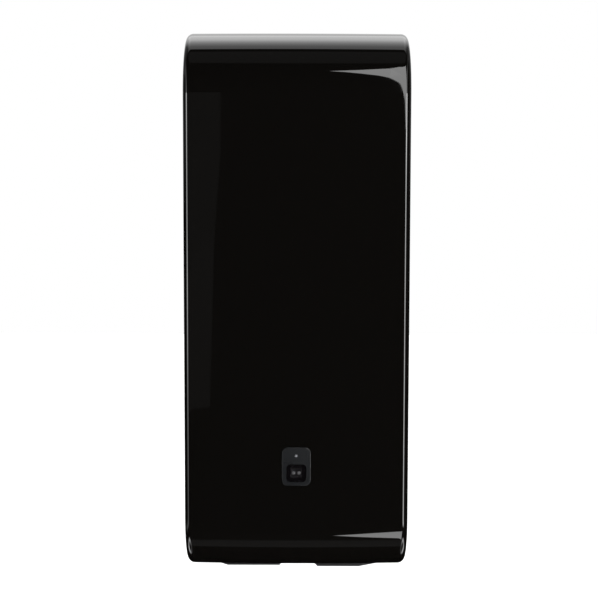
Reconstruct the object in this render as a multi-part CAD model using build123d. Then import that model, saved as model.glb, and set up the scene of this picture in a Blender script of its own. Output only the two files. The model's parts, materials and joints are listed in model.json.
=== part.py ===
"""Touch-free wall dispenser for liquid soap, in millimetres.

The wall is the plane y = 0, the front faces -y and z is up. The origin is on the wall face, at the
middle of the cover's height. The cover swings forwards on two pins low at the back, and the drive
below the bottle lifts the pump's stem with a rack.
"""
from build123d import *
import math
import os

os.makedirs("parts", exist_ok=True)

# Cover
width = 113.6
height = 277.0
depth = 118.0
wallThick = 2.6
topRound = 33.0
bottomRound = 30.5
sideRound = 3.5
crownRadius = 900.0  # plan radius of the bowed front
wallGap = 0.8  # between the cover's rear edge and the wall
cornerRound = 11.5  # lower rear corner, round the hinge
lipEnd = -76.0  # rear end of the lip that turns under the front

# Hinge, round the lower rear corner
hingeY = -wallGap - cornerRound
hingeZ = -height / 2 + cornerRound
pinRadius = 2.5
runningGap = 0.06
lugRound = 5.5
lugX = (45.5, 50.9)
earX = (51.4, width / 2 - wallThick)

# Back plate
plateX = 51.0
plateTop = 129.5
plateBottom = -131.0
plateThick = 2.5
rimDeep = 9.0
screwX = 30.0
screwUpper = 94.0
screwLower = -46.0
screwHole = 2.4

# Sensor panel on the front
bezelSize = (14.6, 19.6)
bezelZ = -80.85
bezelProud = 0.6
windowSize = (10.0, 9.1)
windowZ = -84.2
lightZ = -75.3
eyeGap = 2.8
eyeZ = -85.2

# Refill
pumpY = -58.0
bottleX = 43.0
bottleY = (-99.0, -17.0)
bottleZ = (-30.0, 112.0)
bottleSkin = 1.2
neckRadius = 14.0
neckEnd = -41.0
pumpRadius = 11.0
pumpBore = 9.5
pumpBottom = -92.0
pumpTop = -42.5
stemRadius = 4.0
nozzleEnd = -141.0

# Gear train: positions in x and z, planes in y
pressureAngle = math.radians(25)
fineModule = 0.8
rackModule = 1.0
motorTeeth = 12
idlerTeeth = 40
idlerPinionTeeth = 12
outputTeeth = 44
outputPinionTeeth = 14
backlash = 0.16
outputX = 16.0
outputZ = -92.0
idlerX = 31.0
motorX = 33.0
shaftRadius = 2.0
motorPlane = (-40.5, -36.5)
outputPlane = (-34.5, -30.5)
rackPlane = (-28.5, -22.5)
rearSheet = (-20.0, -18.0)
frontSheet = (-44.0, -42.0)
outputPitch = fineModule * outputTeeth / 2
idlerPitch = fineModule * idlerTeeth / 2
idlerPinionPitch = fineModule * idlerPinionTeeth / 2
motorPitch = fineModule * motorTeeth / 2
rackLine = outputX - rackModule * outputPinionTeeth / 2
idlerZ = outputZ + math.sqrt((outputPitch + idlerPinionPitch) ** 2 - (idlerX - outputX) ** 2)
motorZ = idlerZ - math.sqrt((idlerPitch + motorPitch) ** 2 - (motorX - idlerX) ** 2)
motorRadius = 12.0
motorY = (-76.0, frontSheet[0])

# Drive housing
housingX = 50.0
housingY = (-104.0, -46.0)
housingZ = (-127.0, -56.0)
housingWall = 1.8
columnX = 45.2
columnZ = (-122.5, -59.8)
columnRadius = 3.2
standoffX = 38.0
spacers = ((12.5, -60.5), (20.0, -113.0), (44.0, -106.0))

# Lock, on top near the wall
lockY = hingeY
lockBottom = 126.6
camZ = (124.0, 126.4)
camReach = 9.3

# Batteries, two by two, standing
cellRadius = 7.25
cellLength = 50.5
cellX = (-38.0, -22.0)
cellY = (-91.0, -75.0)
cellBottom = -116.4
trayX = (-46.8, -13.2)
trayY = (-99.8, -66.2)
trayZ = (-118.8, -63.4)


def save(shape, node):
    export_step(shape, f"parts/{node}.step")


def block(x, y, z):
    size = [abs(b - a) for a, b in (x, y, z)]
    middle = [(a + b) / 2 for a, b in (x, y, z)]
    return Pos(*middle) * Box(*size)


def post(x, y, z, radius):
    """Cylinder along z."""
    return Pos(x, y, (z[0] + z[1]) / 2) * Cylinder(radius, abs(z[1] - z[0]))


def pegY(x, z, y, radius):
    """Cylinder along y."""
    return Pos(x, (y[0] + y[1]) / 2, z) * Rot(90, 0, 0) * Cylinder(radius, abs(y[1] - y[0]))


def pegX(y, z, x, radius):
    """Cylinder along x."""
    return Pos((x[0] + x[1]) / 2, y, z) * Rot(0, 90, 0) * Cylinder(radius, abs(x[1] - x[0]))


def slabY(face, y):
    """A flat outline in x and z, given thickness from y[1] forwards to y[0]."""
    return extrude(Plane.XZ.offset(-y[1]) * face, amount=y[1] - y[0])


def rounded(x, z, size, corner, y):
    return slabY(Pos(x, z) * RectangleRounded(size[0], size[1], corner), y)


def mirrored(shape):
    return shape + mirror(shape, Plane.YZ)


def group(shapes):
    return Compound(children=list(shapes))


def screw(x, z, head, length, radius, headRadius):
    """Pan-head screw along y with a cross recess; head is the y of the face that it clamps."""
    body = pegY(x, z, (head - headRadius * 0.75, head), headRadius)
    body = fillet(body.edges().sort_by(Axis.Y)[0], headRadius * 0.35)
    body += pegY(x, z, (head, head + length), radius)
    for size in ((headRadius * 1.1, headRadius * 0.22), (headRadius * 0.22, headRadius * 1.1)):
        body -= Pos(x, head - headRadius * 0.75, z) * Box(size[0], headRadius * 0.7, size[1])
    return body


# ---------------------------------------------------------------- cover


def crownedBody(inset, rear):
    """Side outline swept round a far upright axis, trimmed to width."""
    front = -depth + inset
    low = -height / 2 + inset
    high = height / 2 - inset
    outline = make_face(Plane.YZ * Polyline((front, low), (30, low), (30, high), (front, high), close=True))
    outline = fillet(outline.vertices().sort_by_distance((0, front, high))[0], topRound - inset)
    outline = fillet(outline.vertices().sort_by_distance((0, front, low))[0], bottomRound - inset)
    axis = Axis((0, crownRadius - depth, 0), (0, 0, 1))
    swing = 5
    body = revolve(outline.rotate(axis, -swing), axis=axis, revolution_arc=2 * swing)
    side = width / 2 - inset
    return body & block((-side, side), (-depth - 5, rear), (-height, height))


def edgesAtSide(body, side, rear):
    edges = []
    for edge in body.edges():
        box = edge.bounding_box()
        flat = abs(abs(box.min.X) - side) < 0.01 and abs(box.max.X - box.min.X) < 0.01
        if flat and box.min.Y < rear - 0.01:
            edges.append(edge)
    return edges


def frontCover():
    rear = -wallGap
    outer = crownedBody(0, rear)
    corner = outer.edges().filter_by(Axis.X).sort_by_distance((0, rear, -height / 2))[0]
    outer = fillet(corner, cornerRound - 0.01)
    outer = fillet(edgesAtSide(outer, width / 2, rear), sideRound)
    inner = crownedBody(wallThick, 5)
    inner = fillet(edgesAtSide(inner, width / 2 - wallThick, 5), 1.2)
    body = outer - inner
    inside = width / 2 - wallThick
    body -= block((-inside, inside), (lipEnd, 1), (-height / 2 - 1, -height / 2 + 9))
    body += mirrored(pegX(hingeY, hingeZ, earX, 6.0))
    body -= mirrored(pegX(hingeY, hingeZ, (earX[0] - 1, width / 2 - 1.1), pinRadius + runningGap))
    body -= rounded(0, bezelZ, (bezelSize[0] + 0.1, bezelSize[1] + 0.1), 3.2, (-depth - 2, -depth + 0.8))
    body -= rounded(0, bezelZ, (bezelSize[0] - 1.6, bezelSize[1] - 1.6), 2.4, (-depth - 2, -depth + 8))
    for x in (-38, 0, 38):
        for z in (30, 75):
            rib = block((x - 0.6, x + 0.6), (-depth + wallThick - 0.6, -depth + 7), (z - 22, z + 22))
            body += rib
    body -= post(0, lockY, (130, 145), 6.0)
    return body


def sensorBezel():
    body = rounded(0, bezelZ, bezelSize, 3.1, (-depth - bezelProud, -depth + 0.8))
    face = body.faces().sort_by(Axis.Y)[0]
    body = fillet(face.edges(), 0.35)
    body += rounded(0, bezelZ, (bezelSize[0] - 1.8, bezelSize[1] - 1.8), 2.3, (-depth + 0.8, -depth + 4))
    body -= rounded(0, windowZ, windowSize, 2.0, (-depth - 2, -depth + 5))
    body -= pegY(0, lightZ, (-depth - 2, -depth - bezelProud + 0.35), 1.15)
    body -= pegY(0, lightZ, (-depth - 2, -depth + 5), 0.68)
    return body


def sensorWindow():
    return rounded(0, windowZ, windowSize, 2.0, (-depth - 0.15, -depth + 1.0))


def lightPipe():
    pipe = pegY(0, lightZ, (-depth - bezelProud + 0.1, -depth + 4), 0.68)
    return pipe


# ---------------------------------------------------------------- lock


def lockBody():
    body = post(0, lockY, (lockBottom, height / 2), 6.0)
    body += post(0, lockY, (height / 2, height / 2 + 1.1), 8.5)
    body = fillet(body.edges().sort_by(Axis.Z)[-1], 0.5)
    return body - post(0, lockY, (lockBottom - 1, height / 2 + 3), 4.06)


def lockNut():
    ring = extrude(Plane.XY * RegularPolygon(8.0, 6, major_radius=False), amount=4.8)
    ring = Pos(0, lockY, height / 2 - wallThick - 4.8) * Rot(0, 0, 30) * ring
    return ring - post(0, lockY, (120, 145), 6.0)


def lockBarrel():
    body = post(0, lockY, (lockBottom - 0.2, height / 2 + 1.3), 4.0)
    body -= block((-0.5, 0.5), (lockY - 2.6, lockY + 2.6), (height / 2 - 3, height / 2 + 3))
    return body - post(0, lockY, (120, 133), 1.25)


def lockCam():
    body = post(0, lockY, camZ, 3.6) + block((-3, 3), (lockY, lockY + camReach - 3), camZ)
    body += post(0, lockY + camReach - 3, camZ, 3)
    return body - post(0, lockY, (120, 130), 1.25)


def camScrew():
    body = post(0, lockY, (camZ[0] - 1.4, camZ[0]), 2.6) + post(0, lockY, (camZ[0], 132), 1.25)
    body -= block((-0.3, 0.3), (lockY - 2, lockY + 2), (camZ[0] - 2, camZ[0] - 0.7))
    return body


# ---------------------------------------------------------------- back plate and hinge


def backPlate():
    middle = (plateTop + plateBottom) / 2
    size = (2 * plateX, plateTop - plateBottom)
    body = rounded(0, middle, size, 6, (-plateThick, 0))
    body += rounded(0, middle, size, 6, (-rimDeep, 0)) - rounded(
        0, middle, (size[0] - 4, size[1] - 4), 4, (-rimDeep - 1, 1)
    )
    body -= block((-13, 13), (-rimDeep - 1, -plateThick), (plateTop - 4, plateTop + 1))
    for z in (screwUpper, screwLower):
        for x in (-screwX, screwX):
            body += pegY(x, z, (-5, -plateThick), 7)
            body -= pegY(x, z, (-6, 1), screwHole)
    for x in (-16, 16):
        body += block((x - 0.8, x + 0.8), (-6, -plateThick), (-22, 112))
    for z in (-10, 40, 76):
        body += block((-plateX + 1, plateX - 1), (-5, -plateThick), (z - 0.8, z + 0.8))
    body += mirrored(hingeLug())
    hookY = (lockY - 5.0, lockY - 3.5)
    hookZ = (121, 125.9)
    body += block((4.2, 12), hookY, hookZ) + block((10, 12), (hookY[0], -plateThick), hookZ)
    return body


def hingeLug():
    lug = pegX(hingeY, hingeZ, lugX, lugRound)
    lug += block(lugX, (hingeY, 0), (hingeZ - lugRound, hingeZ + lugRound))
    return lug - pegX(hingeY, hingeZ, (lugX[0] - 1, lugX[1] + 1), pinRadius)


def hingePins():
    pin = pegX(hingeY, hingeZ, (lugX[0] - 1.5, width / 2 - 1.6), pinRadius)
    head = pegX(hingeY, hingeZ, (lugX[0] - 1.5, lugX[0]), 3.6)
    pin = chamfer(pin.edges().sort_by(Axis.X)[-1], 0.5) + head
    return group([pin, mirror(pin, Plane.YZ)])


# ---------------------------------------------------------------- refill


def refillBottle():
    body = block((-bottleX, bottleX), bottleY, bottleZ)
    body = fillet(body.edges().filter_by(Axis.X).group_by(Axis.Z)[-1].sort_by(Axis.Y)[0], 30)
    upright = [e for e in body.edges() if e.bounding_box().size.Z > 80 and e.bounding_box().size.X < 1]
    body = fillet(upright, 13)
    body = fillet(body.faces().sort_by(Axis.Z)[0].edges(), 6)
    inner = offset(body, -bottleSkin)
    body += post(0, pumpY, (neckEnd, bottleZ[0] + 2), neckRadius)
    body -= inner
    return body - post(0, pumpY, (neckEnd - 1, bottleZ[0] + 4), neckRadius - 1.8)


def refillCap():
    body = post(0, pumpY, (-47, bottleZ[0] - 0.5), 19)
    body = fillet(body.edges().sort_by(Axis.Z)[0], 1.5)
    for step in range(36):
        angle = math.radians(step * 10)
        spot = (19.1 * math.cos(angle), pumpY + 19.1 * math.sin(angle))
        body -= post(spot[0], spot[1], (-45, bottleZ[0]), 0.7)
    body -= post(0, pumpY, (pumpTop - 1.5, bottleZ[0] + 1), neckRadius)
    return body - post(0, pumpY, (-50, -40), pumpRadius)


def neckSeal():
    return post(0, pumpY, (pumpTop, neckEnd), neckRadius) - post(0, pumpY, (pumpTop - 1, neckEnd + 1), 10)


def pumpBody():
    body = post(0, pumpY, (pumpBottom, pumpTop), pumpRadius)
    body += post(0, pumpY, (pumpTop - 1.5, pumpTop), neckRadius)
    body += post(0, pumpY, (pumpTop, -24), 5)
    body -= post(0, pumpY, (pumpBottom + 2, pumpTop - 1.5), pumpBore)
    body -= post(0, pumpY, (pumpTop - 3, -20), 2.5)
    return body - post(0, pumpY, (pumpBottom - 1, pumpBottom + 3), stemRadius + runningGap)


def pumpStem():
    body = post(0, pumpY, (nozzleEnd + 4, -84), stemRadius)
    body += post(0, pumpY, (-89.5, -84), pumpBore - runningGap)
    body += post(0, pumpY, (-110.7, -109), 8) + post(0, pumpY, (-117, -115.3), 8)
    return body - post(0, pumpY, (nozzleEnd - 1, -80), 1.6)


def nozzleTip():
    body = post(0, pumpY, (nozzleEnd, -128), 5.5)
    body = chamfer(body.edges().sort_by(Axis.Z)[0], 1.2)
    body -= post(0, pumpY, (nozzleEnd + 4, -120), stemRadius)
    return body - post(0, pumpY, (nozzleEnd - 1, nozzleEnd + 5), 2.4)


def pumpSpring():
    low = -84.0
    high = pumpTop - 1.5
    wire = 0.55
    turns = 7
    path = Helix(pitch=(high - low - 2 * wire) / turns, height=high - low - 2 * wire, radius=6.8)
    coil = sweep(Plane(origin=path @ 0, z_dir=path % 0) * Circle(wire), path=path)
    return Pos(0, pumpY, low + wire) * coil


def bottleShelf():
    plate = block((-47, 47), (-101.5, -plateThick), (-33, bottleZ[0]))
    body = plate + block((-47, 47), (-101.5, -99.5), (-33, -18))
    body += mirrored(block((45, 47), (-101.5, -60), (-33, -22)))
    body = fillet(body.edges().filter_by(Axis.Z).group_by(Axis.Y)[0], 1.8)
    body += mirrored(block((40, 42), (-60, -plateThick), (-43, -33)))
    slot = post(0, pumpY, (-40, -20), 19.6) + block((-19.6, 19.6), (-110, pumpY), (-34, -17))
    return body - slot


# ---------------------------------------------------------------- drive


def gearFace(module, teeth, toothAngle):
    """Involute gear outline with a tooth centred at toothAngle."""
    pitch = module * teeth / 2
    base = pitch * math.cos(pressureAngle)
    tip = pitch + 0.9 * module
    root = pitch - 1.2 * module
    inv = math.tan(pressureAngle) - pressureAngle
    start = max(base, root)
    points = []
    for tooth in range(teeth):
        centre = toothAngle + 2 * math.pi * tooth / teeth
        flank = []
        for step in range(5):
            radius = start + (tip - start) * step / 4
            roll = math.acos(min(1.0, base / radius))
            half = math.pi / (2 * teeth) - backlash / (2 * pitch) + inv - (math.tan(roll) - roll)
            flank.append((radius, half))
        if root < base:
            flank.insert(0, (root, flank[0][1]))
        points += [(r * math.cos(centre - a), r * math.sin(centre - a)) for r, a in flank]
        points += [(r * math.cos(centre + a), r * math.sin(centre + a)) for r, a in reversed(flank)]
    return make_face(Polyline(*points, close=True))


def gear(x, z, y, module, teeth, toothAngle):
    return slabY(Pos(x, z) * gearFace(module, teeth, toothAngle), y)


outputToIdler = math.atan2(idlerZ - outputZ, idlerX - outputX)
idlerToMotor = math.atan2(motorZ - idlerZ, motorX - idlerX)


def outputGear():
    """Big wheel and rack pinion in one; the pinion has a tooth towards the rack."""
    body = gear(outputX, outputZ, outputPlane, fineModule, outputTeeth, outputToIdler)
    body += gear(outputX, outputZ, (outputPlane[1], rackPlane[1]), rackModule, outputPinionTeeth, math.pi)
    body += pegY(outputX, outputZ, (frontSheet[1] + 0.3, outputPlane[0]), 3.4)
    body += pegY(outputX, outputZ, (rackPlane[1], rearSheet[0] - 0.3), 3.4)
    body -= pegY(outputX, outputZ, (frontSheet[0], rearSheet[1]), shaftRadius + 0.05)
    for step in range(5):
        angle = 2 * math.pi * (step + 0.5) / 5
        hole = (outputX + 11.5 * math.cos(angle), outputZ + 11.5 * math.sin(angle))
        body -= pegY(hole[0], hole[1], (outputPlane[0] - 1, outputPlane[1] + 1), 2.4)
    return body


def idlerGear():
    """Big wheel driven by the motor, and the pinion that drives the output wheel."""
    meshGap = outputToIdler + math.pi + math.pi / idlerPinionTeeth
    body = gear(idlerX, idlerZ, motorPlane, fineModule, idlerTeeth, idlerToMotor)
    body += gear(idlerX, idlerZ, (motorPlane[1], outputPlane[1]), fineModule, idlerPinionTeeth, meshGap)
    body += pegY(idlerX, idlerZ, (frontSheet[1] + 0.3, motorPlane[0]), 3.2)
    body += pegY(idlerX, idlerZ, (outputPlane[1], rearSheet[0] - 0.3), 3.2)
    return body - pegY(idlerX, idlerZ, (frontSheet[0], rearSheet[1]), shaftRadius + 0.05)


def motorPinion():
    meshGap = idlerToMotor + math.pi + math.pi / motorTeeth
    body = gear(motorX, motorZ, motorPlane, fineModule, motorTeeth, meshGap)
    return body - pegY(motorX, motorZ, (-60, -20), 1.0)


def motorShaft():
    return pegY(motorX, motorZ, (motorY[0] - 1.6, motorPlane[1]), 1.0)


def motorArmature():
    body = pegY(motorX, motorZ, (-68, -50), 8.0)
    for step in range(5):
        angle = 2 * math.pi * step / 5
        slot = (motorX + 8 * math.cos(angle), motorZ + 8 * math.sin(angle))
        body -= pegY(slot[0], slot[1], (-69, -49), 1.6)
    body += pegY(motorX, motorZ, (-72, -68), 3.2)
    return body - pegY(motorX, motorZ, (-80, -40), 1.0)


def motorMagnets():
    ring = pegY(motorX, motorZ, (-69, -49), motorRadius - 1) - pegY(motorX, motorZ, (-70, -48), 8.6)
    ring -= block((motorX - 3, motorX + 3), (-70, -48), (motorZ - 20, motorZ + 20))
    return ring


def motorCan():
    body = pegY(motorX, motorZ, motorY, motorRadius)
    body = fillet(body.edges().filter_by(GeomType.CIRCLE).sort_by(Axis.Y)[-1], 1.0)
    body += pegY(motorX, motorZ, (motorY[1], motorY[1] + 1.6), 4.0)
    body -= pegY(motorX, motorZ, (motorY[0] - 1, motorY[1] - 1), motorRadius - 1)
    return body - pegY(motorX, motorZ, (-50, -40), 1.06)


def motorEndCap():
    body = pegY(motorX, motorZ, (motorY[0], motorY[0] + 2), motorRadius - 1)
    body += pegY(motorX, motorZ, (motorY[0] - 2.2, motorY[0]), 4.0)
    return body - pegY(motorX, motorZ, (motorY[0] - 1.8, motorY[0] + 3), 1.06)


def rackOutline():
    """Rack teeth facing +x, with a gap level with the output pinion."""
    half = math.pi * rackModule / 4 - backlash / 2
    slope = math.tan(pressureAngle)
    tip = rackLine + 0.9 * rackModule
    root = rackLine - 1.2 * rackModule
    points = [(-14, -75), (-14, -117), (root, -117)]
    for step in range(-6, 3):
        centre = outputZ + (step + 0.5) * math.pi * rackModule
        low = half + slope * (rackLine - root)
        high = half - slope * (tip - rackLine)
        points += [(root, centre - low), (tip, centre - high), (tip, centre + high), (root, centre + low)]
    points.append((root, -75))
    return make_face(Polyline(*points, close=True))


def liftCarriage():
    body = slabY(rackOutline(), rackPlane)
    body += block((-14, -4), (-48, rackPlane[1]), (-117, -109))
    body += block((-12.5, 12.5), (-70, -46), (-115, -111))
    body -= post(0, pumpY, (-116, -110), stemRadius + 0.3)
    body -= block((-stemRadius - 0.3, stemRadius + 0.3), (-72, pumpY), (-116, -110))
    return body - post(-9, -25.5, (-120, -70), shaftRadius + 0.05)


def guideRod():
    return post(-9, -25.5, (-125, -58), shaftRadius)


def gearShafts():
    return group(pegY(x, z, (frontSheet[0], rearSheet[1]), shaftRadius)
                 for x, z in ((outputX, outputZ), (idlerX, idlerZ)))


def driveFrame():
    """Rear sheet of the gearbox, with its posts and the guide rod's lugs."""
    body = block((-49, 49), rearSheet, (-126, -56.5))
    for x in (-columnX, columnX):
        for z in columnZ:
            body += pegY(x, z, (housingY[1], rearSheet[0]), columnRadius)
            body += pegY(math.copysign(standoffX, x), z, (rearSheet[1], -plateThick), columnRadius)
            body -= pegY(x, z, (housingY[1] - 1, -30), 1.25)
    for x, z in spacers:
        body += pegY(x, z, (frontSheet[1], rearSheet[0]), 2.5)
        body -= pegY(x, z, (frontSheet[1] - 1, -30), 1.0)
    for z in ((-62, -58), (-125, -121)):
        body += block((-13, -5), (-29.5, rearSheet[0]), z)
    body -= post(-9, -25.5, (-130, -50), shaftRadius)
    for x, z in ((outputX, outputZ), (idlerX, idlerZ)):
        body -= pegY(x, z, (-25, -15), shaftRadius)
    return body


def gearboxSheet():
    body = block((8, 48.5), frontSheet, (-116, -57))
    body = fillet(body.edges().filter_by(Axis.Y), 3)
    body -= pegY(columnX, columnZ[1], (-50, -40), columnRadius + 0.3)
    for x, z in spacers:
        body -= pegY(x, z, (-50, -40), 1.0)
    for x, z in ((outputX, outputZ), (idlerX, idlerZ)):
        body -= pegY(x, z, (-50, -40), shaftRadius)
    body -= pegY(motorX, motorZ, (-50, -42.4), 4.0)
    return body - pegY(motorX, motorZ, (-50, -40), 1.6)


def gearboxScrews():
    return group(screw(x, z, frontSheet[0], 12, 1.0, 2.2) for x, z in spacers)


# ---------------------------------------------------------------- housing and electronics


def driveHousing():
    body = block((-housingX, housingX), housingY, housingZ)
    front = body.faces().sort_by(Axis.Y)[0]
    lower = front.edges().sort_by(Axis.Z)[0]
    body = fillet(lower, 11)
    uprights = body.edges().filter_by(Axis.Z).group_by(Axis.Y)[0]
    body = fillet(uprights, 3)
    hollow = block(
        (-housingX + housingWall, housingX - housingWall),
        (housingY[0] + housingWall, housingY[1] + 1),
        (housingZ[0] - 1, housingZ[1] - housingWall),
    )
    hollow = fillet(hollow.edges().filter_by(Axis.Z).group_by(Axis.Y)[0], 1.5)
    body -= hollow
    for x in (-columnX, columnX):
        for z in columnZ:
            body += pegY(x, z, (housingY[0] + 1, housingY[1]), columnRadius)
            body -= pegY(x, z, (housingY[0] - 1, housingY[1] + 1), 1.25)
    body -= post(0, pumpY, (-60, -50), 13)
    body -= block((-8, 8), (-110, -100), (-92, -70))
    body -= block((-46, -14), (-110, -100), (-116.5, -65))
    body -= block((27, 37.5), (-110, -100), (-75, -70))
    return body


def housingScrews():
    return group(screw(x, z, housingY[0], 70, 1.25, 2.6) for x in (-columnX, columnX) for z in columnZ)


def batteryDoor():
    body = block((-45.9, -14.1), (-104, -102.2), (-116.4, -65.1))
    body += block((-47, -13), (-105.2, -104), (-117.4, -64.1))
    body = fillet(body.faces().sort_by(Axis.Y)[0].edges(), 0.6)
    for step in range(5):
        z = -73 - 2.4 * step
        body -= block((-36, -24), (-106, -104.7), (z - 0.6, z + 0.6))
    return body


def batteryTray():
    body = block(trayX, trayY, trayZ)
    body -= block((trayX[0] + 1.2, trayX[1] - 1.2), (-101, trayY[1] - 1.2), (trayZ[0] + 1.2, trayZ[1] - 1.2))
    return body + block((-30.4, -29.6), (-98, trayY[1]), (trayZ[0] + 1.2, trayZ[0] + 14))


def batteries():
    cells = []
    for column, x in enumerate(cellX):
        for y in cellY:
            cell = post(x, y, (cellBottom, cellBottom + cellLength - 1.2), cellRadius)
            cell = fillet(cell.edges(), 0.5)
            cell += post(x, y, (cellBottom + cellLength - 1.3, cellBottom + cellLength), 2.75)
            flip = Rot(0, 180 * column, 0)
            middle = Pos(x, y, cellBottom + cellLength / 2)
            cells.append(middle * flip * middle.inverse() * cell)
    return group(cells)


def batteryContacts():
    plates = []
    low = trayZ[0] + 1.2
    high = trayZ[1] - 1.2
    for z in ((low, cellBottom), (cellBottom + cellLength, high)):
        for x in cellX:
            plates.append(block((x - 5, x + 5), (-97, -69), z))
    return group(plates)


def circuitBoard():
    body = block((15, 47), (-92, -90.4), (-117, -65))
    for z in (-113, -69):
        for x in (18, 43):
            body -= pegY(x, z, (-93, -90), 1.3)
    return body


def boardParts():
    chips = [
        block((24, 31), (-93.6, -92), (-96, -89)),
        block((35, 41), (-93.4, -92), (-108, -103)),
        block((18.5, 23.5), (-95.5, -92), (-110, -104)),
        block((33, 43), (-97, -92), (-87, -82)),
    ]
    chips += [pegY(x, -112, (-98, -92), 2.5) for x in (26, 33)]
    return group(chips)


def sensorRibbon():
    strip = block((-0.2, 0.2), (-108.4, -97.8), (-85, -79))
    strip += block((-0.2, 17.2), (-98.2, -97.8), (-85, -79))
    return strip + block((16.8, 17.2), (-98.2, -92), (-85, -79))


def motorLeads():
    return group(pegY(motorX + side, motorZ, (-90.4, motorY[0]), 0.6) for side in (-6.5, 6.5))


def batteryLeads():
    leads = []
    for z in (-71, -74):
        path = FilletPolyline((trayX[1], -84, z), (20, -84, z), (20, -90.4, z), radius=4)
        leads.append(sweep(Plane(origin=path @ 0, z_dir=path % 0) * Circle(0.7), path=path))
    return group(leads)


def switchBody():
    body = block((25, 39.5), (-102.2, -96), (-78, -67))
    return body - block((27.2, 37.3), (-103, -98), (-74.8, -70.2))


def switchKnob():
    knob = block((27.8, 32.2), (-106, -98.4), (-74.4, -70.6))
    for step in (-1, 0, 1):
        knob -= block((30 + 1.3 * step - 0.3, 30 + 1.3 * step + 0.3), (-107, -105.5), (-75, -70))
    return knob


def sensorHolder():
    body = block((-7.8, 7.8), (-112.5, -100.5), (-91.5, -70.5))
    body += block((-10, 10), (-105.4, -104), (-94, -68))
    body = fillet(body.faces().sort_by(Axis.Y)[0].edges(), 0.6)
    body -= block((-6.4, 6.4), (-113, -108.4), (-90, -72))
    return body - block((-1.2, 1.2), (-109, -100), (-85.5, -78.5))


def sensorBoard():
    return block((-6.3, 6.3), (-109.6, -108.4), (-89.8, -72.2))


def sensorModule():
    body = block((-2.95, 2.95), (-113.2, -109.6), (eyeZ - 2.5, eyeZ + 2.4))
    for side in (-1, 1):
        body -= pegY(side * eyeGap / 2, eyeZ, (-114, -111.5), 0.88)
    return body


def eye(side):
    x = side * eyeGap / 2
    return pegY(x, eyeZ, (-113.2, -111.5), 0.88) + Pos(x, -113.2, eyeZ) * Sphere(0.88) - pegY(x, eyeZ, (-111.5, -105), 2)


def statusLed():
    body = pegY(0, lightZ, (-112.6, -109.6), 1.5)
    return body + Pos(0, -112.6, lightZ) * Sphere(1.0)


# ---------------------------------------------------------------- underside


def podOutline(points):
    return make_face(Polyline(*points, close=True))


def baseTray():
    """Panel under the drive, with a pod each side of the nozzle."""
    top = -131.5
    under = -134.5
    body = block((-50, 50), (-72, -20), (under, top))
    body = fillet(body.edges().filter_by(Axis.Z).group_by(Axis.Y)[0], 5)
    body += block((-44, 44), (-21, -plateThick), (under, top))
    podY = (-70, -34)
    left = [(-46, top), (-43.4, -144.4), (-37.5, -146.3), (-9.1, -146.3), (-7.9, -144.6), (-7.5, top)]
    right = [(46, top), (44, -145), (34.3, -146.9), (11.5, -146.9), (9.6, -145), (9.2, top)]
    for points, hollow in ((left, (-38, -10)), (right, (12, 38))):
        pod = slabY(podOutline(points), podY)
        pod = fillet(pod.faces().sort_by(Axis.Y)[0].edges().sort_by(Axis.Z)[:3], 1.5)
        body += pod
        body -= block(hollow, (podY[0] + 2, podY[1] - 2), (-144.5, top + 1))
    return body - post(0, pumpY, (-150, -130), 7.2)


nodes = {
    "front_cover": frontCover,
    "sensor_bezel": sensorBezel,
    "sensor_window": sensorWindow,
    "light_pipe": lightPipe,
    "lock_body": lockBody,
    "lock_nut": lockNut,
    "lock_barrel": lockBarrel,
    "lock_cam": lockCam,
    "cam_screw": camScrew,
    "back_plate": backPlate,
    "hinge_pins": hingePins,
    "refill_bottle": refillBottle,
    "refill_cap": refillCap,
    "neck_seal": neckSeal,
    "pump_body": pumpBody,
    "pump_stem": pumpStem,
    "nozzle_tip": nozzleTip,
    "pump_spring": pumpSpring,
    "bottle_shelf": bottleShelf,
    "output_gear": outputGear,
    "idler_gear": idlerGear,
    "motor_pinion": motorPinion,
    "motor_shaft": motorShaft,
    "motor_armature": motorArmature,
    "motor_magnets": motorMagnets,
    "motor_can": motorCan,
    "motor_end_cap": motorEndCap,
    "lift_carriage": liftCarriage,
    "guide_rod": guideRod,
    "gear_shafts": gearShafts,
    "drive_frame": driveFrame,
    "gearbox_sheet": gearboxSheet,
    "gearbox_screws": gearboxScrews,
    "drive_housing": driveHousing,
    "housing_screws": housingScrews,
    "battery_door": batteryDoor,
    "battery_tray": batteryTray,
    "batteries": batteries,
    "battery_contacts": batteryContacts,
    "circuit_board": circuitBoard,
    "board_parts": boardParts,
    "sensor_ribbon": sensorRibbon,
    "motor_leads": motorLeads,
    "battery_leads": batteryLeads,
    "switch_body": switchBody,
    "switch_knob": switchKnob,
    "sensor_holder": sensorHolder,
    "sensor_board": sensorBoard,
    "sensor_module": sensorModule,
    "ir_emitter": lambda: eye(-1),
    "ir_receiver": lambda: eye(1),
    "status_led": statusLed,
    "base_tray": baseTray,
}

for node, make in nodes.items():
    save(make(), node)
    print(node)
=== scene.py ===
import bpy
import json
import math
from mathutils import Matrix, Vector


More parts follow.
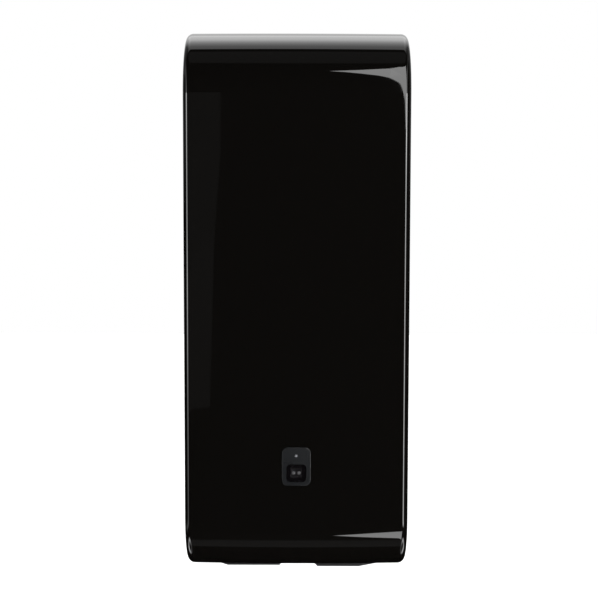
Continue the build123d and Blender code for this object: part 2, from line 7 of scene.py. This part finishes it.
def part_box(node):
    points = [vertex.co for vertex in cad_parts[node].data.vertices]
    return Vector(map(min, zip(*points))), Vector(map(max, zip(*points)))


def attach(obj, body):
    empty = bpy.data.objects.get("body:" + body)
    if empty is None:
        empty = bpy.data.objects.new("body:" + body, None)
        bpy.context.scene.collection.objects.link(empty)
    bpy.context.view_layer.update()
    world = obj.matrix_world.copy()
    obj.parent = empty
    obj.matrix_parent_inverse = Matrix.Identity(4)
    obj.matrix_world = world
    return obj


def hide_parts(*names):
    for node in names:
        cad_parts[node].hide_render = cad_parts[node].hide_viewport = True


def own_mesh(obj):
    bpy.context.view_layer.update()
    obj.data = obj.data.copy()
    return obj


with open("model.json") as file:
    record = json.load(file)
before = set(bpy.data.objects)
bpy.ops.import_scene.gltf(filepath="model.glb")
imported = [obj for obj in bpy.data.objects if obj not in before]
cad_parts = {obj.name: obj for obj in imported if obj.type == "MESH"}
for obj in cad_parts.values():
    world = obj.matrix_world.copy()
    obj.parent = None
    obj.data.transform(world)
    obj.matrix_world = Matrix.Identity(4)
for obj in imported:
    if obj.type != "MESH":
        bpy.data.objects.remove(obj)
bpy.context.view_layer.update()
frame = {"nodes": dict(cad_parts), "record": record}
nodes = frame["nodes"]
print("frame loaded:", len(nodes), "nodes")


def clearSelection():
    if bpy.context.object and bpy.context.object.mode != "OBJECT":
        bpy.ops.object.mode_set(mode="OBJECT")
    bpy.ops.object.select_all(action="DESELECT")


def newMaterial(name, color, roughness, metallic=0.0):
    mat = bpy.data.materials.new(name)
    mat.use_nodes = True
    shader = mat.node_tree.nodes["Principled BSDF"]
    shader.inputs["Base Color"].default_value = (*color, 1)
    shader.inputs["Roughness"].default_value = roughness
    shader.inputs["Metallic"].default_value = metallic
    return mat, shader


def link(mat, source, target):
    mat.node_tree.links.new(source, target)


def objectCoords(mat, scale=(1, 1, 1)):
    coords = mat.node_tree.nodes.new("ShaderNodeTexCoord")
    mapping = mat.node_tree.nodes.new("ShaderNodeMapping")
    mapping.inputs["Scale"].default_value = scale
    link(mat, coords.outputs["Object"], mapping.inputs["Vector"])
    return mapping.outputs["Vector"]


def noise(mat, vector, scale, detail=3.0):
    node = mat.node_tree.nodes.new("ShaderNodeTexNoise")
    node.inputs["Scale"].default_value = scale
    node.inputs["Detail"].default_value = detail
    link(mat, vector, node.inputs["Vector"])
    return node.outputs["Fac"]


def spread(mat, value, low, high, fromLow=0.3, fromHigh=0.7):
    node = mat.node_tree.nodes.new("ShaderNodeMapRange")
    node.inputs["From Min"].default_value = fromLow
    node.inputs["From Max"].default_value = fromHigh
    node.inputs["To Min"].default_value = low
    node.inputs["To Max"].default_value = high
    link(mat, value, node.inputs["Value"])
    return node.outputs["Result"]


def tint(mat, shader, value, dark, light):
    node = mat.node_tree.nodes.new("ShaderNodeMix")
    node.data_type = "RGBA"
    node.inputs["A"].default_value = (*dark, 1)
    node.inputs["B"].default_value = (*light, 1)
    link(mat, value, node.inputs["Factor"])
    link(mat, node.outputs["Result"], shader.inputs["Base Color"])


def bump(mat, shader, value, strength, distance):
    node = mat.node_tree.nodes.new("ShaderNodeBump")
    node.inputs["Strength"].default_value = strength
    node.inputs["Distance"].default_value = distance
    link(mat, value, node.inputs["Height"])
    link(mat, node.outputs["Normal"], shader.inputs["Normal"])


def glossPlastic(name, color, roughness=0.03):
    mat, shader = newMaterial(name, color, roughness)
    vector = objectCoords(mat)
    link(mat, spread(mat, noise(mat, vector, 35), roughness, roughness + 0.02), shader.inputs["Roughness"])
    return mat


def mouldedPlastic(name, color, roughness=0.45, grain=2600.0, depth=0.00003):
    mat, shader = newMaterial(name, color, roughness)
    vector = objectCoords(mat)
    fine = noise(mat, vector, grain, 2)
    bump(mat, shader, fine, 0.35, depth)
    wear = spread(mat, noise(mat, vector, 60), roughness - 0.06, roughness + 0.08)
    link(mat, wear, shader.inputs["Roughness"])
    patches = spread(mat, noise(mat, vector, 25), 0, 1)
    tint(mat, shader, patches, [c * 0.92 for c in color], [c * 1.06 for c in color])
    return mat


def metal(name, color, roughness=0.25, brush=(1, 1, 1), grain=900.0):
    mat, shader = newMaterial(name, color, roughness, 1.0)
    vector = objectCoords(mat, brush)
    streaks = noise(mat, vector, grain, 4)
    link(mat, spread(mat, streaks, roughness - 0.08, roughness + 0.1), shader.inputs["Roughness"])
    bump(mat, shader, streaks, 0.12, 0.00001)
    return mat


def lens(name, color, roughness, transmission, glow=0.0):
    mat, shader = newMaterial(name, color, roughness)
    # glow sets an emission strength; above zero it is a painted glow on a part that is no lamp
    shader.inputs["Emission Color"].default_value = (1, 1, 1, 1)
    shader.inputs["Emission Strength"].default_value = glow
    shader.inputs["Transmission Weight"].default_value = transmission
    shader.inputs["IOR"].default_value = 1.49
    vector = objectCoords(mat)
    link(mat, spread(mat, noise(mat, vector, 300), roughness, roughness + 0.02), shader.inputs["Roughness"])
    return mat


def smokedLens(name, color, cover):  # cover is how much of what lies behind is hidden
    mat, shader = newMaterial(name, color, 0.03)
    shader.inputs["Alpha"].default_value = cover
    vector = objectCoords(mat)
    link(mat, spread(mat, noise(mat, vector, 300), 0.02, 0.05), shader.inputs["Roughness"])
    return mat


def softBottle(name, color):
    mat, shader = newMaterial(name, color, 0.42)
    shader.inputs["Subsurface Weight"].default_value = 0.6
    shader.inputs["Subsurface Radius"].default_value = (0.01, 0.012, 0.012)
    shader.inputs["Subsurface Scale"].default_value = 0.5
    vector = objectCoords(mat)
    bump(mat, shader, noise(mat, vector, 700, 2), 0.2, 0.00005)
    tint(mat, shader, spread(mat, noise(mat, vector, 18), 0, 1), [c * 0.95 for c in color], color)
    return mat


def circuitMask(name, color):
    mat, shader = newMaterial(name, color, 0.25)
    vector = objectCoords(mat)
    brick = mat.node_tree.nodes.new("ShaderNodeTexBrick")
    brick.inputs["Scale"].default_value = 260
    brick.inputs["Color1"].default_value = (*color, 1)
    brick.inputs["Color2"].default_value = (*[c * 1.5 for c in color], 1)
    brick.inputs["Mortar"].default_value = (*[c * 0.6 for c in color], 1)
    brick.inputs["Mortar Size"].default_value = 0.06
    swap = mat.node_tree.nodes.new("ShaderNodeMapping")
    swap.inputs["Rotation"].default_value = (math.radians(90), 0, 0)
    link(mat, vector, swap.inputs["Vector"])
    link(mat, swap.outputs["Vector"], brick.inputs["Vector"])
    link(mat, brick.outputs["Color"], shader.inputs["Base Color"])
    bump(mat, shader, brick.outputs["Fac"], 0.3, 0.00003)
    return mat


def bandedWrap(name, color, bands):  # sleeve with plain colour bands along z
    mat, shader = newMaterial(name, color, 0.3)
    coords = objectCoords(mat)
    split = mat.node_tree.nodes.new("ShaderNodeSeparateXYZ")
    link(mat, coords, split.inputs["Vector"])
    ramp = mat.node_tree.nodes.new("ShaderNodeValToRGB")
    ramp.color_ramp.interpolation = "CONSTANT"
    while len(ramp.color_ramp.elements) < len(bands):
        ramp.color_ramp.elements.new(0.5)
    for element, (place, shade) in zip(ramp.color_ramp.elements, bands):
        element.position = place
        element.color = (*shade, 1)
    low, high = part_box("batteries")
    link(mat, spread(mat, split.outputs["Z"], 0, 1, low.z, high.z), ramp.inputs["Fac"])
    link(mat, ramp.outputs["Color"], shader.inputs["Base Color"])
    return mat


cellBands = [(0, (0.03, 0.03, 0.035)), (0.68, (0.7, 0.45, 0.12))]  # start of each band, its colour
finishes = {
    "gloss_black": glossPlastic("glossBlack", (0.0026, 0.0023, 0.002), 0.015),
    "satin_grey": mouldedPlastic("satinBezel", (0.0092, 0.0098, 0.0108), 0.28, 4200.0, 0.00001),
    "dark_lens": smokedLens("smokedLens", (0.006, 0.005, 0.006), 0.3),
    "clear_lens": lens("lightPipeAcrylic", (0.3, 0.31, 0.33), 0.25, 0.5),
    "lock_chrome": metal("lockNickel", (0.75, 0.74, 0.72), 0.12),
    "steel": metal("zincSteel", (0.6, 0.61, 0.63), 0.3),
    "black_plastic": mouldedPlastic("blackAbs", (0.014, 0.014, 0.015)),
    "dark_plastic": mouldedPlastic("charcoalAbs", (0.045, 0.047, 0.051)),
    "white_plastic": mouldedPlastic("whiteAcetal", (0.72, 0.72, 0.69), 0.35, 1500.0, 0.00001),
    "bottle_plastic": softBottle("bottlePolyethylene", (0.72, 0.76, 0.78)),
    "seal_rubber": mouldedPlastic("sealRubber", (0.02, 0.02, 0.02), 0.7),
    "spring_steel": metal("springWire", (0.55, 0.55, 0.56), 0.22),
    "motor_steel": metal("motorCanNickel", (0.58, 0.57, 0.55), 0.28, (1, 12, 1), 500.0),
    "magnet": mouldedPlastic("ferrite", (0.06, 0.06, 0.063), 0.6),
    "copper": metal("windingCopper", (0.75, 0.33, 0.17), 0.35, (1, 1, 8), 900.0),
    "brass": metal("pinionBrass", (0.78, 0.58, 0.26), 0.25),
    "board_green": circuitMask("solderMask", (0.01, 0.11, 0.045)),
    "chip_black": mouldedPlastic("chipResin", (0.018, 0.018, 0.018), 0.5),
    "cell_wrap": bandedWrap("cellSleeve", (0.1, 0.1, 0.1), cellBands),
    "ribbon": mouldedPlastic("ribbonPvc", (0.7, 0.7, 0.66), 0.4),
    "lead_insulation": mouldedPlastic("leadPvc", (0.5, 0.03, 0.03), 0.4),
    # the receiver and emitter get a faint painted glow, standing in for light they reflect, so they show as lighter
    # dots
    "led_dark": lens("receiverEpoxyPaintedGlow", (0.3, 0.3, 0.32), 0.3, 0.0, 0.1),
    "led_clear": lens("emitterEpoxyPaintedGlow", (0.3, 0.3, 0.32), 0.3, 0.0, 0.1),
}

ownFinishes = {  # nodes that differ from the rest of their material slot
    "sensor_module": mouldedPlastic("moduleResin", (0.06, 0.058, 0.06), 0.3),
    "sensor_board": circuitMask("blackSolderMask", (0.004, 0.004, 0.004)),
}
for part in frame["record"]["subparts"]:
    node = nodes[part["node"]]
    for index in range(len(node.material_slots)):
        node.material_slots[index].material = ownFinishes.get(part["node"], finishes[part["material_slot"]])
print("materials made:", len(finishes))


coverLow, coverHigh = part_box("front_cover")
coverMiddle = (coverLow + coverHigh) / 2
view = {
    "distance": 0.632,  # metres in front of the cover
    "side": 0.00106,
    "height": 0.0572,
    "pitch": math.radians(4.81),
    "roll": math.radians(-0.117),
    "focal": 76.5,
}
bpy.ops.object.camera_add(
    location=(view["side"], coverLow.y - view["distance"], coverMiddle.z + view["height"]),
    rotation=(math.radians(90) - view["pitch"], view["roll"], 0),
)
camera = bpy.context.object
camera.data.lens = view["focal"]
camera.data.sensor_width = 36
bpy.context.scene.camera = camera


cover = {  # metres
    "topRound": 0.033,
    "bottomRound": 0.0305,
    "sideRound": 0.0035,
    "innerRound": 0.0012,
    "crownRadius": 0.9,
    "wall": 0.0026,
    "lipEnd": -0.076,  # the cover is open underneath behind this
    "lipHeight": 0.009,
    "hingeCorner": 0.0115,
    "earRadius": 0.006,
    "earInner": 0.0514,
    "pinHole": 0.00256,
    "pinHoleInner": 0.05,
    "pinHoleSkin": 0.0011,  # left between the pin's hole and the outside
    "ribSpacing": 0.038,
    "ribHeights": (0.03, 0.075),
    "ribHalf": (0.0006, 0.022),  # half of a rib's width and of its height
    "ribDepth": 0.0044,
    "lockHole": 0.006,
    "bezelGap": 0.0001,
    "bezelPocket": 0.0016,
    "bezelLedge": 0.0016,
    "bezelRound": (0.0032, 0.0024),  # of the pocket and of the hole through it
    "roundSteps": 56,
    "crownSteps": 72,
    "sideSteps": 10,
}


def pick(obj, mode, wanted):  # leaves edit mode on with what passes the test selected
    bpy.ops.object.mode_set(mode="OBJECT")
    mesh = obj.data
    for element in (*mesh.vertices, *mesh.edges, *mesh.polygons):
        element.select = False
    if mode == "VERT":
        for vertex in mesh.vertices:
            vertex.select = wanted(vertex.co)
    elif mode == "EDGE":
        for edge in mesh.edges:
            edge.select = wanted(*(mesh.vertices[i].co for i in edge.vertices))
    else:
        for face in mesh.polygons:
            face.select = wanted(face.center, face.normal)
    bpy.ops.object.mode_set(mode="EDIT")
    bpy.ops.mesh.select_mode(type=mode)


def near(a, b):
    return abs(a - b) < 1e-5


def applyPlace():
    bpy.ops.object.mode_set(mode="OBJECT")
    bpy.ops.object.transform_apply(location=True, rotation=True, scale=True)


def applyModifier(obj, kind, **settings):
    modifier = obj.modifiers.new(kind, kind)
    for key, value in settings.items():
        setattr(modifier, key, value)
    bpy.context.view_layer.objects.active = obj
    bpy.ops.object.modifier_apply(modifier=modifier.name)


def boxBetween(low, high):
    clearSelection()
    bpy.ops.mesh.primitive_cube_add(size=1, location=[(a + b) / 2 for a, b in zip(low, high)])
    box = bpy.context.object
    box.scale = [b - a for a, b in zip(low, high)]
    applyPlace()
    return box


def windowBlock(middle, size, rounding):  # block with its four edges along y rounded
    low = [m - s / 2 for m, s in zip(middle, size)]
    high = [m + s / 2 for m, s in zip(middle, size)]
    box = boxBetween(low, high)
    pick(box, "EDGE", lambda a, b: near(a.x, b.x) and near(a.z, b.z))
    bpy.ops.mesh.bevel(offset=rounding, segments=10, affect="EDGES")
    bpy.ops.object.mode_set(mode="OBJECT")
    return box


def rod(start, end, radius, sides=64):
    clearSelection()
    start, end = Vector(start), Vector(end)
    bpy.ops.mesh.primitive_cylinder_add(vertices=sides, radius=radius, depth=(end - start).length)
    peg = bpy.context.object
    peg.location = (start + end) / 2
    peg.rotation_euler = (end - start).to_track_quat("Z", "Y").to_euler()
    applyPlace()
    return peg


def combine(obj, tool, operation="DIFFERENCE"):
    applyModifier(obj, "BOOLEAN", operation=operation, object=tool, solver="EXACT")
    bpy.data.objects.remove(tool)


def crownedBody(inset, rear, sideRound):  # the cover as a closed body, or the room inside it
    front = coverLow.y + inset
    low, high = coverLow.z + inset, coverHigh.z - inset
    side = coverHigh.x - inset
    back = 0.03  # past the wall, where the block below cuts it off
    past = 0.001
    clearSelection()
    bpy.ops.mesh.primitive_plane_add(size=1, rotation=(0, math.radians(90), 0))
    body = bpy.context.object
    body.scale = (high - low, back - front, 1)
    body.location = (0, (front + back) / 2, (low + high) / 2)
    applyPlace()
    for height, radius in ((high, cover["topRound"]), (low, cover["bottomRound"])):
        pick(body, "VERT", lambda p: near(p.y, front) and near(p.z, height))
        bpy.ops.mesh.bevel(offset=radius - inset, segments=cover["roundSteps"], affect="VERTICES")
    # swept round the crown's upright axis, with no line where the sides get rounded
    radius = cover["crownRadius"]
    centre = (0, coverLow.y + radius, 0)
    reach = math.asin((side - sideRound - past) / radius)
    over = math.asin((side + 0.004) / radius)
    bpy.ops.mesh.select_all(action="SELECT")
    bpy.ops.transform.rotate(value=over, orient_axis="Z", center_override=centre)
    for steps, angle in ((1, over - reach), (cover["crownSteps"], 2 * reach), (1, over - reach)):
        bpy.ops.mesh.spin(steps=steps, angle=-angle, center=centre, axis=(0, 0, 1))
    bpy.ops.mesh.select_all(action="SELECT")
    bpy.ops.mesh.remove_doubles(threshold=1e-6)
    bpy.ops.mesh.normals_make_consistent(inside=False)
    bpy.ops.object.mode_set(mode="OBJECT")
    block = boxBetween((-side, front - 0.02, low - past * (inset > 0)), (side, rear, high + past))
    if not inset:  # rear lower edge, round the hinge
        pick(block, "EDGE", lambda a, b: all(near(p.y, rear) and near(p.z, low) for p in (a, b)))
        bpy.ops.mesh.bevel(offset=cover["hingeCorner"], segments=20, affect="EDGES")
        bpy.ops.object.mode_set(mode="OBJECT")
    combine(body, block, "INTERSECT")

    def sideEdge(a, b):
        return near(abs(a.x), side) and near(abs(b.x), side) and not (near(a.y, rear) and near(b.y, rear))

    pick(body, "EDGE", sideEdge)
    bpy.ops.mesh.bevel(offset=sideRound, segments=cover["sideSteps"], affect="EDGES")
    bpy.ops.object.mode_set(mode="OBJECT")
    return body


def makeCover():
    rear, wall = coverHigh.y, cover["wall"]
    shell = crownedBody(0, rear, cover["sideRound"])
    shell.name = "coverShell"
    combine(shell, crownedBody(wall, 0.005, cover["innerRound"]))
    inside = coverHigh.x - wall
    floor = coverLow.z
    combine(shell, boxBetween((-inside, cover["lipEnd"], floor - 0.001), (inside, 0.001, floor + cover["lipHeight"])))
    front = coverLow.y + wall
    halfWide, halfTall = cover["ribHalf"]
    for spot in (-1, 0, 1):  # stiffening ribs behind the front
        for height in cover["ribHeights"]:
            x = spot * cover["ribSpacing"]
            start = (x - halfWide, front - halfWide, height - halfTall)
            end = (x + halfWide, front + cover["ribDepth"], height + halfTall)
            combine(shell, boxBetween(start, end), "UNION")
    pinsLow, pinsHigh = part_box("hinge_pins")
    y, z = (pinsLow.y + pinsHigh.y) / 2, (pinsLow.z + pinsHigh.z) / 2
    earEnd, holeEnd = inside + 0.0004, coverHigh.x - cover["pinHoleSkin"]
    for way in (-1, 1):
        ear = rod((way * cover["earInner"], y, z), (way * earEnd, y, z), cover["earRadius"])
        combine(shell, ear, "UNION")
        combine(shell, rod((way * cover["pinHoleInner"], y, z), (way * holeEnd, y, z), cover["pinHole"], 40))
    bezelLow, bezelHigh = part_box("sensor_bezel")
    middle = (0, coverLow.y, (bezelLow.z + bezelHigh.z) / 2)
    size = bezelHigh - bezelLow
    gap, ledge = cover["bezelGap"], cover["bezelLedge"]
    pocketRound, throughRound = cover["bezelRound"]
    combine(shell, windowBlock(middle, (size.x + gap, cover["bezelPocket"], size.z + gap), pocketRound))
    combine(shell, windowBlock(middle, (size.x - ledge, 0.016, size.z - ledge), throughRound))
    lockLow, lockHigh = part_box("lock_body")
    lockY = (lockLow.y + lockHigh.y) / 2
    combine(shell, rod((0, lockY, 0.13), (0, lockY, 0.145), cover["lockHole"]))
    shell.data.materials.clear()
    shell.data.materials.append(finishes["gloss_black"])
    clearSelection()
    shell.select_set(True)
    bpy.context.view_layer.objects.active = shell
    bpy.ops.object.shade_smooth_by_angle(angle=math.radians(28))
    applyModifier(shell, "WEIGHTED_NORMAL", keep_sharp=True, weight=60)
    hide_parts("front_cover")
    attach(shell, "cover")
    return shell


coverShell = makeCover()
print("cover made:", len(coverShell.data.polygons), "faces")


spring = {
    "coilRadius": 0.0068,
    "wireRadius": 0.00055,
    "turns": 7,
    "stepsPerTurn": 48,
    "travel": 0.01,  # how far the stem pushes it in
}


def makeSpring():
    low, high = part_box("pump_spring")
    axisX, axisY = (low.x + high.x) / 2, (low.y + high.y) / 2
    clearSelection()
    place = (axisX + spring["coilRadius"], axisY, low.z + spring["wireRadius"])
    upright = (math.radians(90), 0, 0)
    bpy.ops.mesh.primitive_circle_add(vertices=12, radius=spring["wireRadius"], location=place, rotation=upright)
    coil = bpy.context.object
    coil.name = "springCoil"
    applyPlace()
    coil.data.transform(Matrix.Translation((-axisX, -axisY, 0)))
    rise = high.z - low.z - 2 * spring["wireRadius"]
    turns, steps = spring["turns"], spring["stepsPerTurn"]
    applyModifier(coil, "SCREW", angle=math.tau, iterations=turns, screw_offset=rise / turns, axis="Z",
                  steps=steps, render_steps=steps, use_merge_vertices=True)
    coil.location = (axisX, axisY, 0)
    applyPlace()
    bpy.ops.object.mode_set(mode="EDIT")
    bpy.ops.mesh.select_all(action="SELECT")
    bpy.ops.mesh.remove_doubles(threshold=1e-7)
    bpy.ops.mesh.fill_holes(sides=0)
    bpy.ops.mesh.select_all(action="SELECT")
    bpy.ops.mesh.normals_make_consistent(inside=False)
    bpy.ops.object.mode_set(mode="OBJECT")
    bpy.ops.object.shade_smooth_by_angle(angle=math.radians(50))
    coil.data.materials.clear()
    coil.data.materials.append(finishes["spring_steel"])
    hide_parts("pump_spring")
    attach(coil, "chassis")
    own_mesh(coil)
    return coil


springCoil = makeSpring()
print("spring made:", len(springCoil.data.polygons), "faces")


studio = {
    "floorDrop": 0.9,  # the floor is this far below the object
    "glow": [  # brightness of the room above and behind, by how far back a direction points
        (0.045, 0.0),
        (0.07, 1.1),
        (0.18, 1.17),
        (0.29, 1.75),
        (0.4, 2.4),
        (0.51, 3.25),
        (0.57, 3.35),
        (0.7, 2.75),
        (0.77, 2.6),
        (0.85, 1.2),
        (1.0, 0.9),
    ],
    "front": 0.006,
    "high": 0.085,
    "low": 0.1,
    "matt": 0.3,  # share of the room's light that matt surfaces get
    "rightEdge": [  # brightness of the band at the right, by height
        (-0.35, 9.0),
        (-0.006, 9.0),
        (0.05, 15.0),
        (0.085, 15.0),
        (0.11, 1.8),
        (0.6, 1.2),
        (0.7, 0.0),
    ],
    "leftEdge": [
        (-0.4, 1.2),
        (-0.24, 1.2),
        (-0.16, 3.0),
        (-0.08, 7.0),
        (0.0, 6.0),
        (0.085, 9.0),
        (0.11, 2.0),
        (0.65, 0.0),
    ],
    "underEdge": [(-1.0, 0.2), (-0.93, 0.8), (-0.88, 1.7), (-0.79, 5.0), (-0.73, 5.0), (-0.69, 0.0)],
    "rightReach": (0.588, 0.766),  # how far aside each band lies
    "leftReach": (0.775, 0.915),
    "underReach": (0.55, 0.63),
    "underSlope": 1.7,
    "underStart": -0.77,
    "upperStrength": 5.0,
    "lowerStrength": 4.6,
    "hazeStrength": 0.05,
    "key": {"place": (-0.9, -1.6, 1.3), "size": 1.4, "power": 6},
    "fill": {"place": (1.2, -1.0, -0.3), "size": 1.2, "power": 2.5},
}


def makeWorld():
    world = bpy.data.worlds.new("studioWorld")
    bpy.context.scene.world = world
    world.use_nodes = True
    tree = world.node_tree
    background = tree.nodes["Background"]
    coords = tree.nodes.new("ShaderNodeTexCoord")
    split = tree.nodes.new("ShaderNodeSeparateXYZ")
    tree.links.new(coords.outputs["Generated"], split.inputs["Vector"])
    across, back, up = (split.outputs[axis] for axis in "XYZ")

    def step(value, low, high):
        node = tree.nodes.new("ShaderNodeMapRange")
        node.inputs["From Min"].default_value = low
        node.inputs["From Max"].default_value = high
        tree.links.new(value, node.inputs["Value"])
        return node.outputs["Result"]

    def calc(kind, a, b=0.0):
        node = tree.nodes.new("ShaderNodeMath")
        node.operation = kind
        for socket, value in zip(node.inputs, (a, b)):
            if isinstance(value, (int, float)):
                socket.default_value = value
            else:
                tree.links.new(value, socket)
        return node.outputs["Value"]

    def times(*values):
        result = values[0]
        for value in values[1:]:
            result = calc("MULTIPLY", result, value)
        return result

    def levels(value, stops):  # value from -1 to 1, brightness between the stops
        ramp = tree.nodes.new("ShaderNodeValToRGB")
        while len(ramp.color_ramp.elements) < len(stops):
            ramp.color_ramp.elements.new(1.0)
        brightest = max(level for place, level in stops)
        for element, (place, level) in zip(ramp.color_ramp.elements, stops):
            element.position = (place + 1) / 2
            element.color = (*[level / brightest] * 3, 1)
        tree.links.new(step(value, -1, 1), ramp.inputs["Fac"])
        return times(ramp.outputs["Color"], brightest)

    def between(value, reach, soft=0.02):
        near, far = reach
        return times(step(value, near - soft, near + soft), step(value, far + soft, far - soft))

    aside = calc("ABSOLUTE", across)
    wide = calc("MAXIMUM", step(aside, 0.6, 0.3), 0.08)
    glow = times(levels(back, studio["glow"]), step(up, -0.02, 0.05), wide)
    ahead = step(back, 0.06, 0.03)
    toFloor = step(back, -0.205, -0.23)
    high = times(step(up, 0.86, 0.88), step(back, -0.03, -0.08), studio["high"])
    low = times(step(up, -0.845, -0.88), toFloor, studio["low"])
    front = times(calc("MAXIMUM", step(up, -0.5, -0.45), toFloor), studio["front"])
    left = calc("MULTIPLY", across, -1)
    facing = step(back, 0.3, 0.1)
    slanted = calc("SUBTRACT", aside, times(calc("SUBTRACT", up, studio["underStart"]), studio["underSlope"]))
    aboveFloor = step(up, -0.5, -0.4)

    def edge(value, name, *limits):
        return times(between(value, studio[name + "Reach"]), levels(up, studio[name + "Edge"]), *limits)

    edges = [
        edge(across, "right", aboveFloor, facing),
        edge(left, "left", aboveFloor, facing),
        edge(slanted, "under", step(back, 0.45, 0.38)),
    ]
    total = calc("ADD", glow, times(ahead, calc("ADD", calc("ADD", high, low), front)))
    for band in edges:
        total = calc("ADD", total, band)
    seen = tree.nodes.new("ShaderNodeLightPath")
    total = times(total, calc("SUBTRACT", 1.0, times(seen.outputs["Is Diffuse Ray"], 1 - studio["matt"])))
    mix = tree.nodes.new("ShaderNodeMix")
    tree.links.new(seen.outputs["Is Camera Ray"], mix.inputs["Factor"])
    tree.links.new(total, mix.inputs["A"])
    mix.inputs["B"].default_value = 1.0
    tree.links.new(mix.outputs["Result"], background.inputs["Strength"])
    background.inputs["Color"].default_value = (1, 1, 1, 1)


def direction(azimuth, elevation):  # azimuth 0 looks along -y, positive towards +x
    a, e = math.radians(azimuth), math.radians(elevation)
    return Vector((math.sin(a) * math.cos(e), -math.cos(a) * math.cos(e), math.sin(e)))


def lightCard(name, eye, corners, strength, distance=2.0):  # corners are directions from eye
    points = [eye + direction(azimuth, elevation) * distance for azimuth, elevation in corners]
    mesh = bpy.data.meshes.new(name)
    mesh.from_pydata(points, [], [list(range(len(points)))])
    card = bpy.data.objects.new(name, mesh)
    bpy.context.scene.collection.objects.link(card)
    mat = bpy.data.materials.new(name)
    mat.use_nodes = True
    shader = mat.node_tree.nodes["Principled BSDF"]
    shader.inputs["Base Color"].default_value = (0, 0, 0, 1)
    shader.inputs["Emission Color"].default_value = (1, 1, 1, 1)
    shader.inputs["Emission Strength"].default_value = strength
    mesh.materials.append(mat)
    card.visible_camera = False
    return card


makeWorld()
upperEye = Vector((0.05, coverLow.y, 0.11))
lowerEye = Vector((0.05, coverLow.y, -0.11))
upperRight = [(3, 45.3), (5.5, 43.4), (7.6, 40.7), (9.9, 37), (11, 33)]
upperRight += [(11.6, 29), (11.6, 10), (12.7, 4.2), (28, 2.2)]
upperRight += [(40, 2), (40, 53), (16, 53.3), (13.7, 50.4), (8, 47.4)]
lightCard("upperCard", upperEye, upperRight, studio["upperStrength"])
lowerRight = [(4, -49), (6.5, -47), (11, -43), (13.4, -41), (34, -38), (34, -58), (16.5, -55.3), (9.8, -52.6)]
lightCard("lowerCard", lowerEye, lowerRight, studio["lowerStrength"])
leftEye = Vector((-0.05, coverLow.y, 0.0))
for index in range(3):  # stacked so that the haze fades out at its edges
    edge = index * 0.4
    haze = [(-8 - edge, 9.5 - 5 * edge), (-8 - edge, 4), (-8.8 - edge, -1.2), (-9.4 - edge, -11.1)]
    haze += [(-38, -11.1), (-38, 9.5 - 5 * edge)]
    lightCard(f"leftHaze{index}", leftEye, haze, studio["hazeStrength"], 2.0 + index * 0.01)


def softLight(name, place, size, power):
    bpy.ops.object.light_add(type="AREA", location=place)
    lamp = bpy.context.object
    lamp.name = name
    lamp.data.size = size
    lamp.data.energy = power
    lamp.visible_glossy = False
    lamp.visible_camera = False
    lamp.rotation_euler = (coverMiddle - Vector(place)).to_track_quat("-Z", "Y").to_euler()
    return lamp


softLight("keyLight", **studio["key"])
softLight("fillLight", **studio["fill"])

bpy.ops.mesh.primitive_plane_add(size=12, location=(0, 3, coverLow.z - studio["floorDrop"]))
floor = bpy.context.object
floor.name = "floor"
floor.visible_glossy = False
floorMat, floorShader = newMaterial("paleFloor", (0.9, 0.9, 0.9), 0.8)
floorShader.inputs["Emission Color"].default_value = (1, 1, 1, 1)
floorShader.inputs["Emission Strength"].default_value = 1.0
floor.data.materials.append(floorMat)
print("studio ready")

bpy.context.scene.view_settings.view_transform = "Standard"
